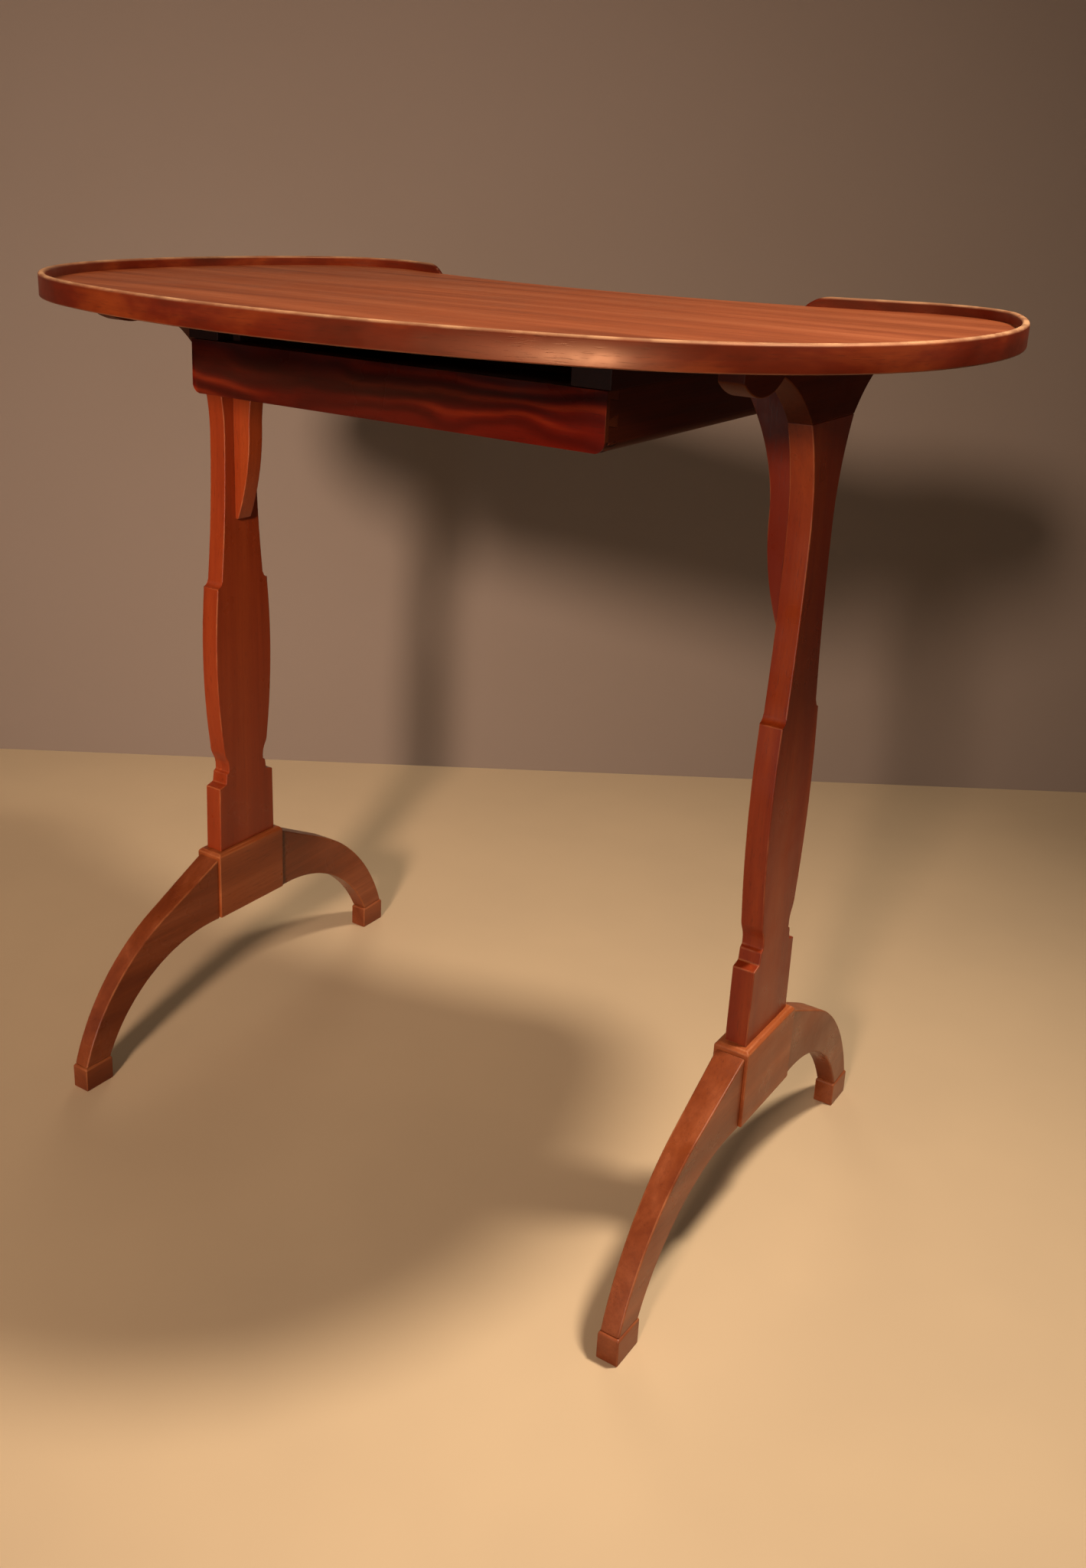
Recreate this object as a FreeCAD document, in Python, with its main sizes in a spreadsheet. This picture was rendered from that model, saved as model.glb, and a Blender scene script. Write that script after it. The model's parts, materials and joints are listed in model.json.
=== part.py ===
import FreeCAD, Part

import math
import os
import re

# Kidney-shaped side table on two shaped end supports, with one hanging drawer.
# Millimetres, +Z up. The origin is on the floor, under the middle of the top's length and depth.
# +X runs along the table's length, -Y points to the rounded side that carries the raised edge,
# and +Y points to the hollow side, where a person sits and where the drawer opens.

doc = FreeCAD.newDocument("kidney_side_table")
Vector = FreeCAD.Vector

# Driving sizes

SIZES = {
    # Outline of the top: tangent arcs from the middle of the rounded side to the middle of the hollow side
    "front_arc_radius": 680,
    "shoulder_arc_radius": 250,
    "end_arc_radius": 398,
    "corner_arc_radius": 76,
    # Top board and the raised edge that is bent round it
    "total_height": 730,
    "lip_height": 8.6,
    "board_thickness": 9.6,
    "band_thickness": 5.5,
    "left_band_end": 214,
    "right_band_end": 173,
    "band_ramp_length": 20,
    "band_round": 2.2,
    "hollow_edge_round": 3.8,
    # Where the end supports and the drawer stand under the top
    "front_overhang": 276.2,
    "end_overhang": 111.3,
    # Columns: baluster boards, from the foot block up
    "support_thickness": 18.6,
    "plinth_foot_half": 38,
    "plinth_top_half": 37,
    "plinth_height": 65.5,
    "ledge_half": 28.3,
    "ledge_rise": 2.5,
    "ledge_top_half": 27,
    "ledge_height": 10,
    "neck_half": 24,
    "neck_rise": 2,
    "neck_band": 3.5,
    "vase_foot_half": 30.4,
    "vase_foot_rise": 22.5,
    "vase_belly_half": 36.9,
    "vase_belly_rise": 88,
    "vase_top_half": 33.4,
    "vase_height": 156,
    "shoulder_band": 3,
    "cove_half": 27.5,
    "cove_rise": 6,
    "waist_half": 20,
    "waist_drop": 79,
    "column_top_half": 38,
    # Bearers: the cross-pieces between the columns and the top
    "bearer_height": 47.8,
    "cavetto_bulge": 4.5,
    "ear_neck_reach": 92,
    "ear_neck_rise": 36,
    "ear_belly_reach": 120,
    "ear_belly_rise": 26,
    "ear_reach": 152,
    "ear_tip_rise": 37,
    # Corbels on the inner faces of the columns
    "corbel_width": 17.5,
    "corbel_height": 206,
    "corbel_top_depth": 75,
    "corbel_waist_depth": 19.4,
    "corbel_waist_drop": 121.8,
    "corbel_tip_depth": 3.5,
    # Foot blocks
    "block_thickness": 30,
    "block_half": 45,
    "block_foot_level": 110,
    "block_height": 68,
    "block_bevel": 2.5,
    # Arched arms, each running from a block to a pad
    "arm_side_setback": 2.5,
    "arm_root_top_drop": 5.5,
    "arm_root_foot_drop": 1,
    "arm_crest_reach": 115,
    "arm_crest_drop": 39.5,
    "arm_back_bulge": 15.5,
    "arm_soffit_bulge": 25.5,
    # Pads under the ends of the arms
    "pad_thickness": 18,
    "pad_outer_reach": 217.3,
    "pad_length": 31.3,
    "pad_height": 23.5,
    "pad_margin": 1.6,
    "pad_side_margin": 1.1,
    "pad_bevel": 1.4,
    # Joints: tenons, mortises and dowels
    "tenon_thickness": 9,
    "column_foot_tenon_half": 22,
    "column_foot_tenon_length": 36,
    "column_top_tenon_half": 25,
    "column_top_tenon_length": 28,
    "arm_tenon_length": 15,
    "arm_tenon_rise": 14,
    "arm_tenon_height": 36,
    "mortise_clearance": 0.15,
    "mortise_end_clearance": 0.8,
    "dowel_radius": 3.5,
    "dowel_bite": 14,
    "dowel_clearance": 0.05,
    # Drawer
    "drawer_corbel_gap": 8.7,
    "drawer_half_depth": 140,
    "drawer_height": 42,
    "drawer_face_core": 15,
    "veneer_thickness": 1,
    "face_corner_round": 8,
    "drawer_side_thickness": 9,
    "tail_length": 11,
    "tail_root_width": 9,
    "tail_flare": 2,
    "tail_low_centre": 12,
    "tail_high_centre": 30,
    "drawer_bottom_thickness": 5,
    "drawer_bottom_rise": 6,
    "bottom_groove_depth": 4.5,
    # Grooved rails under the top, and the hanger strips inside the drawer that run in them
    "rail_overhang": 2.5,
    "rail_width": 31,
    "rail_height": 26.3,
    "rail_gap": 0.6,
    "groove_rise": 8.4,
    "groove_depth": 8,
    "groove_height": 6.8,
    "strip_web": 7.5,
    "strip_foot_height": 12.5,
    "strip_lip_height": 6,
    "run_clearance": 0.3,
    "side_clearance": 0.5,
    "stop_clearance": 0.4,
    # Turned knobs on the drawer's face at the hollow side
    "knob_place": 96,
    "knob_radius": 11,
    "knob_neck_radius": 5.5,
    "knob_reach": 19,
    "knob_neck_length": 6,
    "knob_collar_radius": 8,
    "knob_collar_thickness": 1.8,
    "knob_stem_radius": 4,
    "knob_stem_clearance": 0.05,
    "knob_flat_radius": 2.5,
    # Slotted wood screws
    "screw_shank_radius": 1.9,
    "screw_head_radius": 3.8,
    "screw_head_height": 2.6,
    "screw_slot_width": 0.9,
    "screw_slot_depth": 0.9,
    "screw_tip_length": 4,
    "screw_sink": 1,
    "screw_pocket_depth": 4,
    "screw_mouth_length": 14,
    "screw_clearance": 0.05,
    "board_bite": 6,
    "rail_screw_place": 104,
    "corbel_screw_depth": 48,
    # One overrun for every cutter
    "overrun": 5,
}

# How far each arc of the outline turns, in degrees
ANGLES = {
    "front_angle": 19,
    "shoulder_angle": 58.9,
    "end_angle": 38.4,
    "hollow_angle": 22,
}

# Levels and places that several pieces share, worked out from the driving sizes
PLACES = {
    "shoulder_heading": "front_angle + shoulder_angle",
    "end_heading": "shoulder_heading + end_angle",
    "front_arc_run": "front_arc_radius * sin(front_angle)",
    "shoulder_arc_run": "shoulder_arc_radius * (sin(shoulder_heading) - sin(front_angle))",
    "end_arc_run": "end_arc_radius * (1 - sin(shoulder_heading))",
    "outline_half_length": "front_arc_run + shoulder_arc_run + end_arc_run",
    "front_arc_depth": "front_arc_radius * (1 - cos(front_angle))",
    "shoulder_arc_depth": "shoulder_arc_radius * (cos(front_angle) - cos(shoulder_heading))",
    "end_arc_depth": "end_arc_radius * (cos(shoulder_heading) - cos(end_heading))",
    "corner_arc_depth": "corner_arc_radius * (1 + cos(end_heading))",
    "outline_depth": "front_arc_depth + shoulder_arc_depth + end_arc_depth + corner_arc_depth",
    "trestle_reach": "outline_half_length - end_overhang",
    "support_setback": "front_overhang - outline_depth / 2",
    "surface_level": "total_height - lip_height",
    "underside_level": "surface_level - board_thickness",
    "block_top_level": "block_foot_level + block_height",
    "column_top_level": "underside_level - bearer_height",
    "column_inner": "trestle_reach - support_thickness / 2",
    "drawer_half_length": "column_inner - corbel_top_depth - drawer_corbel_gap",
    "arm_root_thickness": "block_thickness - 2 * arm_side_setback",
    "arm_tip_thickness": "pad_thickness - 2 * pad_side_margin",
    "arm_tip_reach": "pad_outer_reach - pad_margin",
    "arm_heel_reach": "pad_outer_reach - pad_length + pad_margin",
    "rail_foot_level": "underside_level - rail_height",
    "rail_outer": "drawer_half_length + rail_overhang",
    "rail_inner": "rail_outer - rail_width",
    "groove_foot_level": "rail_foot_level + groove_rise",
    "drawer_top_level": "rail_foot_level - rail_gap",
    "drawer_foot_level": "drawer_top_level - drawer_height",
    "core_outer": "drawer_half_depth - veneer_thickness",
    "core_inner": "core_outer - drawer_face_core",
    "side_inner": "drawer_half_length - drawer_side_thickness",
    "bottom_foot_level": "drawer_foot_level + drawer_bottom_rise",
    "strip_outer": "rail_inner - side_clearance",
    "strip_inner": "strip_outer - strip_web",
    "strip_lip_outer": "rail_inner + groove_depth - side_clearance",
    "strip_lip_foot": "groove_foot_level + run_clearance",
    "strip_top_level": "strip_lip_foot + strip_lip_height",
    "strip_foot_level": "drawer_top_level - strip_foot_height",
    "knob_level": "drawer_foot_level + drawer_height / 2",
}


def linked(text):
    """Point each name in a formula at the sheet that holds it."""
    def reference(match):
        word = match.group(0)
        if word in SIZES:
            return "Sizes." + word
        if word in ANGLES:
            return "Angles." + word
        if word in PLACES:
            return "Places." + word
        return word
    return re.sub(r"[a-z_]+", reference, text)


def fill_sheet(name, cells):
    """Write one named cell per row, with its name beside it; text is a formula, a number stays plain."""
    sheet = doc.addObject("Spreadsheet::Sheet", name)
    for row, (alias, content) in enumerate(cells.items(), start=1):
        text = content if isinstance(content, float | int) else "=" + linked(content).replace(name + ".", "")
        sheet.set(f"A{row}", alias)
        sheet.set(f"B{row}", str(text))
        sheet.setAlias(f"B{row}", alias)
    doc.recompute()
    return sheet


sizes_sheet = fill_sheet("Sizes", SIZES)
angles_sheet = fill_sheet("Angles", ANGLES)
places_sheet = fill_sheet("Places", PLACES)


def size(alias):
    """Read one length back from the sheets."""
    sheet = sizes_sheet if alias in SIZES else places_sheet
    return float(sheet.get(alias))


def angle(alias):
    """Read one angle back from its sheet, in radians."""
    return math.radians(float(angles_sheet.get(alias)))


# Helpers for the features

nodes = []


def finish(feature, node):
    """Give a finished sub-part the name that its file and node carry."""
    feature.Label = node
    nodes.append(feature)
    return feature


def bind(feature, formulas):
    """Bind properties to formulas of the sheets' cells."""
    for name, formula in formulas.items():
        feature.setExpression(name, linked(formula))


def box(name, low, high):
    """A block between two corners, each given as three formulas."""
    feature = doc.addObject("Part::Box", name)
    bind(feature, {
        "Length": f"({high[0]}) - ({low[0]})",
        "Width": f"({high[1]}) - ({low[1]})",
        "Height": f"({high[2]}) - ({low[2]})",
        "Placement.Base.x": low[0],
        "Placement.Base.y": low[1],
        "Placement.Base.z": low[2],
    })
    return feature


def under_box(name, low, high):
    """A block whose depth is measured from the line through both end supports."""
    low_y = f"support_setback + {low[1]}"
    high_y = f"support_setback + {high[1]}"
    return box(name, (low[0], low_y, low[2]), (high[0], high_y, high[2]))


def upright_bar(name, radius, base, length):
    """A round upright bar; its depth is measured from the line through both end supports."""
    feature = doc.addObject("Part::Cylinder", name)
    bind(feature, {
        "Radius": radius,
        "Height": length,
        "Placement.Base.x": base[0],
        "Placement.Base.y": f"support_setback + {base[1]}",
        "Placement.Base.z": base[2],
    })
    return feature


def cut(name, base, *tools):
    """Take one tool after another away from a piece."""
    for number, tool in enumerate(tools, start=1):
        feature = doc.addObject("Part::Cut", f"{name}_{number}")
        feature.Base = base
        feature.Tool = tool
        base = feature
    return base


def common(name, base, tool):
    feature = doc.addObject("Part::Common", name)
    feature.Base = base
    feature.Tool = tool
    return feature


def fuse(name, *pieces):
    feature = doc.addObject("Part::MultiFuse", name)
    feature.Shapes = pieces
    feature.Refine = True
    return feature


def origin_plane(body, role):
    return next(plane for plane in body.Origin.OriginFeatures if plane.Role == role)


def support_shift(role):
    """How the line through the end supports shifts a sketch on each plane."""
    if role == "XY_Plane":
        return "0", "support_setback", "0"
    if role == "YZ_Plane":
        return "support_setback", "0", "0"
    return "0", "0", "-support_setback"


def padded(name, role, edges, start, length, shifted=True):
    """A body with one sketch of the given outline, padded from a start offset by a length."""
    shift = support_shift(role) if shifted else ("0", "0", "0")
    body = doc.addObject("PartDesign::Body", name)
    sketch = body.newObject("Sketcher::SketchObject", name + "_outline")
    sketch.AttachmentSupport = [(origin_plane(body, role), "")]
    sketch.MapMode = "FlatFace"
    bind(sketch, {
        "AttachmentOffset.Base.x": shift[0],
        "AttachmentOffset.Base.y": shift[1],
        "AttachmentOffset.Base.z": f"{start} + ({shift[2]})",
    })
    sketch.addGeometry(edges, False)
    pad = body.newObject("PartDesign::Pad", name + "_pad")
    pad.Profile = sketch
    bind(pad, {"Length": length})
    return body


def eased(name, kind, base, rule, alias):
    """Round or bevel every edge that a rule picks."""
    doc.recompute()
    feature = doc.addObject("Part::" + kind, name)
    feature.Base = base
    reach = size(alias)
    numbers = [number for number, edge in enumerate(base.Shape.Edges, start=1) if rule(edge)]
    feature.Edges = [(number, reach, reach) for number in numbers]
    return feature


NEAR = 1e-4


def line(start, end):
    return Part.LineSegment(Vector(start[0], start[1], 0), Vector(end[0], end[1], 0))


def arc(start, middle, end):
    points = [Vector(point[0], point[1], 0) for point in (start, middle, end)]
    return Part.Arc(*points)


def polyline(points):
    return [line(points[i], points[i + 1]) for i in range(len(points) - 1)]


def bulged(start, end, bulge):
    """An arc between two points that swells to the left of its run by the bulge."""
    run_x = end[0] - start[0]
    run_y = end[1] - start[1]
    run = math.hypot(run_x, run_y)
    middle = ((start[0] + end[0]) / 2 - run_y / run * bulge, (start[1] + end[1]) / 2 + run_x / run * bulge)
    return arc(start, middle, end)


def upright_arc(start, end):
    """An arc that leaves its first point upright and ends at the other."""
    across = end[0] - start[0]
    along = end[1] - start[1]
    radius = (across ** 2 + along ** 2) / (2 * abs(across))
    half_turn = math.asin(abs(along) / radius) / 2
    middle = (start[0] + math.copysign(radius * (1 - math.cos(half_turn)), across),
              start[1] + math.copysign(radius * math.sin(half_turn), along))
    return arc(start, middle, end)


def mirrored(edges):
    """The same edges reflected across the sketch's upright axis."""
    result = []
    for edge in edges:
        first = edge.StartPoint
        last = edge.EndPoint
        middle = edge.value((edge.FirstParameter + edge.LastParameter) / 2)
        if isinstance(edge, Part.LineSegment):
            result.append(line((-first.x, first.y), (-last.x, last.y)))
        else:
            result.append(arc((-first.x, first.y), (-middle.x, middle.y), (-last.x, last.y)))
    return result


def both_halves(half, floor_level, roof_level):
    """A closed outline from its right half, which runs from the floor line to the roof line."""
    low = half[0].StartPoint
    high = half[-1].EndPoint
    return half + mirrored(half) + [line((-low.x, floor_level), (low.x, floor_level)),
                                    line((-high.x, roof_level), (high.x, roof_level))]


# Outline of the top

def outline_arcs():
    """Centre, signed radius and headings of each arc of the right half, round side first."""
    radii = [size(alias) for alias in
             ("front_arc_radius", "shoulder_arc_radius", "end_arc_radius", "corner_arc_radius")]
    turns = [angle(alias) for alias in ("front_angle", "shoulder_angle", "end_angle")]
    hollow_turn = angle("hollow_angle")
    turns.append(math.pi + hollow_turn - sum(turns))
    x = 0
    y = 0
    heading = 0
    arcs = []
    for radius, turn in zip(radii, turns):
        centre_x = x - radius * math.sin(heading)
        centre_y = y + radius * math.cos(heading)
        arcs.append((centre_x, centre_y, radius, heading, heading + turn))
        heading += turn
        x = centre_x + radius * math.sin(heading)
        y = centre_y - radius * math.cos(heading)
    hollow_radius = x / math.sin(hollow_turn)
    centre_y = y - hollow_radius * math.cos(heading)
    arcs.append((0, centre_y, -hollow_radius, heading, math.pi))
    middle = size("outline_depth") / 2
    return [(centre_x, centre_y - middle, radius, start, end)
            for centre_x, centre_y, radius, start, end in arcs]


def on_arc(piece, heading, inset):
    """The point of one arc at a heading, drawn inside the table's edge by the inset."""
    centre_x, centre_y, radius = piece[:3]
    reach = radius - inset
    return centre_x + reach * math.sin(heading), centre_y - reach * math.cos(heading)


def top_outline(inset):
    """The whole outline, drawn inside the table's edge by the inset."""
    *convex, hollow = outline_arcs()
    half = []
    for piece in convex:
        start, end = piece[3:]
        half.append(arc(*[on_arc(piece, heading, inset) for heading in (start, (start + end) / 2, end)]))
    hollow_end = on_arc(hollow, hollow[3], inset)
    hollow_middle = on_arc(hollow, math.pi, inset)
    return half + mirrored(half) + [arc(hollow_end, hollow_middle, (-hollow_end[0], hollow_end[1]))]


# Top board and raised edge

def band_strip(name, foot, height):
    """The strip along the rounded side and both ends, open at the hollow side."""
    outer = padded(name + "_outer", "XY_Plane", top_outline(0), foot, height, shifted=False)
    inner = padded(name + "_inner", "XY_Plane", top_outline(size("band_thickness")), f"{foot} - overrun",
                   f"{height} + 2 * overrun", shifted=False)
    mouth = box(name + "_mouth", ("-left_band_end", "0", f"{foot} - overrun"),
                ("right_band_end", "outline_depth", f"{foot} + {height} + overrun"))
    return cut(name, outer, inner, mouth)


def ramp_cutter(side):
    """The prism that rounds one end of the raised edge down to the board's surface."""
    foot = size(side + "_band_end")
    head = foot + size("band_ramp_length")
    level = size("surface_level")
    top = size("total_height")
    over = size("overrun")
    corners = [(head, top), (head, top + over), (foot - over, top + over), (foot - over, level), (foot, level)]
    ramp_radius = (size("band_ramp_length") ** 2 + size("lip_height") ** 2) / (2 * size("lip_height"))
    half_turn = math.asin(size("band_ramp_length") / ramp_radius) / 2
    middle = (head - ramp_radius * math.sin(half_turn), top - ramp_radius * (1 - math.cos(half_turn)))
    edges = polyline(corners) + [arc(corners[-1], middle, corners[0])]
    if side == "left":
        edges = mirrored(edges)
    return padded(side + "_ramp", "XZ_Plane", edges, "-outline_depth", "outline_depth", shifted=False)


def along_band_top(edge):
    """The long upper edges of the raised edge, with those of its ramps."""
    bounds = edge.BoundBox
    return bounds.ZMax > size("surface_level") + NEAR and bounds.XLength > NEAR


def along_hollow_side(edge):
    """The board's upper and lower edges between the two ends of the raised edge."""
    bounds = edge.BoundBox
    left = -size("left_band_end") - NEAR
    right = size("right_band_end") + NEAR
    on_hollow = bounds.YMin > 0 and bounds.XMin > left and bounds.XMax < right
    return on_hollow and bounds.ZLength < NEAR and bounds.XLength > NEAR


band_body = band_strip("band_strip", "underside_level", "total_height - underside_level")
band_ramped = cut("band_ramped", band_body, ramp_cutter("right"), ramp_cutter("left"))
raised_edge = eased("band_rounded", "Fillet", band_ramped, along_band_top, "band_round")
finish(raised_edge, "raised_edge_band")

board_blank = padded("board_blank", "XY_Plane", top_outline(0), "underside_level", "board_thickness", shifted=False)
board_body = cut("board_body", board_blank, band_strip("board_rebate", "underside_level", "board_thickness"))
board_eased = eased("board_eased", "Fillet", board_body, along_hollow_side, "hollow_edge_round")


# Screws and their holes

def turned(profile, base, direction):
    """A solid turned from pairs of radius and height about an upright axis, then laid along a direction."""
    points = [Vector(radius, 0, height) for radius, height in profile]
    face = Part.Face(Part.makePolygon(points + [points[0]]))
    solid = face.revolve(Vector(0, 0, 0), Vector(0, 0, 1), 360)
    rotation = FreeCAD.Rotation(Vector(0, 0, 1), direction)
    solid.Placement = FreeCAD.Placement(base, rotation)
    return solid


def screw_solid(base, direction, length):
    """A countersunk wood screw: slotted head, shank and point."""
    head = size("screw_head_radius")
    shank = size("screw_shank_radius")
    head_height = size("screw_head_height")
    tip = length - size("screw_tip_length")
    blank = turned([(0, 0), (head, 0), (shank, head_height), (shank, tip), (0, length)], Vector(0, 0, 0),
                   Vector(0, 0, 1))
    width = size("screw_slot_width")
    depth = size("screw_slot_depth")
    slot = Part.makeBox(2 * head, width, 2 * depth, Vector(-head, -width / 2, -depth))
    screw = blank.cut(slot)
    screw.Placement = FreeCAD.Placement(base, FreeCAD.Rotation(Vector(0, 0, 1), direction))
    return screw


def screw_hole(base, direction, length):
    """The hole that a screw needs: a mouth, a countersink and a bore to its point."""
    clearance = size("screw_clearance")
    head = size("screw_head_radius") + clearance
    shank = size("screw_shank_radius") + clearance
    mouth = -size("screw_mouth_length")
    head_height = size("screw_head_height")
    profile = [(0, mouth), (head, mouth), (head, 0), (shank, head_height), (shank, length + clearance),
               (0, length + clearance)]
    return turned(profile, base, direction)


def made_once(name, solids):
    """One document object that holds a group of separate solids."""
    feature = doc.addObject("Part::Feature", name)
    feature.Shape = Part.makeCompound(solids)
    return feature


def corbel_level(depth):
    """The level of a corbel's hollow underside at a distance from its column."""
    across = size("corbel_top_depth") - size("corbel_waist_depth")
    along = size("corbel_waist_drop")
    radius = (across ** 2 + along ** 2) / (2 * across)
    run = depth - size("corbel_waist_depth")
    return size("underside_level") - along + math.sqrt(radius ** 2 - (radius - run) ** 2)


UP = Vector(0, 0, 1)
middle_line = size("support_setback")


def bearer_screw_spots():
    level = size("column_top_level") + size("ear_belly_rise") + size("screw_sink")
    length = size("underside_level") + size("board_bite") - level
    return [(Vector(side * size("trestle_reach"), middle_line + end * size("ear_belly_reach"), level), UP, length)
            for side in (-1, 1) for end in (-1, 1)]


def rail_screw_spots():
    level = size("rail_foot_level") + size("screw_sink")
    length = size("underside_level") + size("board_bite") - level
    reach = (size("rail_inner") + size("groove_depth") + size("rail_outer")) / 2
    return [(Vector(side * reach, middle_line + step * size("rail_screw_place"), level), UP, length)
            for side in (-1, 1) for step in (-1, 0, 1)]


def corbel_screw_spots():
    level = corbel_level(size("corbel_screw_depth")) + size("screw_pocket_depth")
    length = size("underside_level") + size("board_bite") - level
    reach = size("column_inner") - size("corbel_screw_depth")
    return [(Vector(side * reach, middle_line, level), UP, length) for side in (-1, 1)]


def screw_group(node, spots):
    """A node of alike screws, and the tool that makes all their holes."""
    finish(made_once(node, [screw_solid(*spot) for spot in spots]), node)
    return made_once(node + "_holes", [screw_hole(*spot) for spot in spots])


bearer_screw_holes = screw_group("bearer_screws", bearer_screw_spots())
rail_screw_holes = screw_group("rail_screws", rail_screw_spots())
corbel_screw_holes = screw_group("corbel_screws", corbel_screw_spots())

board_holes = (bearer_screw_holes, corbel_screw_holes, rail_screw_holes)
finish(cut("table_top_board", board_eased, *board_holes), "table_top_board")


# End supports

def column_outline():
    """The baluster outline, from the foot block up to the bearer."""
    foot_level = size("block_top_level")
    plinth_level = foot_level + size("plinth_height")
    ledge_level = plinth_level + size("ledge_rise")
    ledge_top_level = ledge_level + size("ledge_height")
    neck_level = ledge_top_level + size("neck_rise")
    neck_top_level = neck_level + size("neck_band")
    vase_level = neck_top_level + size("vase_foot_rise")
    vase_top_level = vase_level + size("vase_height")
    band_level = vase_top_level + size("shoulder_band")
    cove_level = band_level + size("cove_rise")
    top_level = size("column_top_level")
    waist_level = top_level - size("waist_drop")

    foot = (size("plinth_foot_half"), foot_level)
    shoulder = (size("plinth_top_half"), plinth_level)
    ledge = (size("ledge_half"), ledge_level)
    ledge_top = (size("ledge_top_half"), ledge_top_level)
    neck = (size("neck_half"), neck_level)
    neck_top = (size("neck_half"), neck_top_level)
    vase_foot = (size("vase_foot_half"), vase_level)
    vase_turn = ((neck_top[0] + vase_foot[0]) / 2, (neck_top[1] + vase_foot[1]) / 2)
    belly = (size("vase_belly_half"), vase_level + size("vase_belly_rise"))
    vase_top = (size("vase_top_half"), vase_top_level)
    band_top = (size("vase_top_half"), band_level)
    cove = (size("cove_half"), cove_level)
    waist = (size("waist_half"), waist_level)
    top = (size("column_top_half"), top_level)

    half = polyline([foot, shoulder, ledge, ledge_top, neck, neck_top]) + [
        upright_arc(neck_top, vase_turn), upright_arc(vase_foot, vase_turn), arc(vase_foot, belly, vase_top),
        line(vase_top, band_top), upright_arc(cove, band_top), upright_arc(waist, cove), upright_arc(waist, top)]
    return both_halves(half, foot_level, top_level)


def bearer_outline():
    """The cross-piece: level over the column, hollowed up to a neck, then bellied ears that lie under the top."""
    foot_level = size("column_top_level")
    joint = (size("column_top_half"), foot_level)
    neck = (size("ear_neck_reach"), foot_level + size("ear_neck_rise"))
    belly = (size("ear_belly_reach"), foot_level + size("ear_belly_rise"))
    tip = (size("ear_reach"), foot_level + size("ear_tip_rise"))
    end = (size("ear_reach"), size("underside_level"))
    half = [bulged(joint, neck, size("cavetto_bulge")), arc(neck, belly, tip), line(tip, end)]
    return both_halves(half, foot_level, size("underside_level"))


def corbel_outline(side):
    """The bracket seen from the rounded side: its back lies against the column, its front is an ogee."""
    back = side * size("column_inner")
    roof = size("underside_level")
    tip_level = roof - size("corbel_height")
    top = (back - side * size("corbel_top_depth"), roof)
    waist = (back - side * size("corbel_waist_depth"), roof - size("corbel_waist_drop"))
    tip = (back - side * size("corbel_tip_depth"), tip_level)
    return polyline([tip, (back, tip_level), (back, roof), top]) + [upright_arc(waist, top), upright_arc(waist, tip)]


def arm_outline(side):
    """One arched arm seen along the table's length; the side gives its direction."""
    root_top = (size("block_half"), size("block_top_level") - size("arm_root_top_drop"))
    root_foot = (size("block_half"), size("block_foot_level") - size("arm_root_foot_drop"))
    crest = (size("arm_crest_reach"), size("block_top_level") - size("arm_crest_drop"))
    tip = (size("arm_tip_reach"), size("pad_height"))
    heel = (size("arm_heel_reach"), size("pad_height"))
    edges = [line(root_foot, root_top), line(root_top, crest), bulged(crest, tip, size("arm_back_bulge")),
             line(tip, heel), bulged(root_foot, heel, size("arm_soffit_bulge"))]
    return edges if side > 0 else mirrored(edges)


def arm_plan(side, end):
    """The same arm seen from above: it narrows evenly from the block to the pad."""
    middle = side * size("trestle_reach")
    root = size("arm_root_thickness") / 2
    tip = size("arm_tip_thickness") / 2
    near = end * size("block_half")
    far = end * size("arm_tip_reach")
    corners = [(middle - root, near), (middle + root, near), (middle + tip, far), (middle - tip, far)]
    return polyline(corners + [corners[0]])


def around(side, half):
    """Two formulas for the faces of a piece centred on one end support."""
    return f"{side} * trestle_reach - {half}", f"{side} * trestle_reach + {half}"


def tenon(name, side, low, high, grown):
    """A tenon or, where it is grown by the clearances, its mortise; low and high hold depth and level."""
    half = "tenon_thickness / 2 + mortise_clearance" if grown else "tenon_thickness / 2"
    left, right = around(side, f"({half})")
    return under_box(name, (left, low[0], low[1]), (right, high[0], high[1]))


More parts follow.
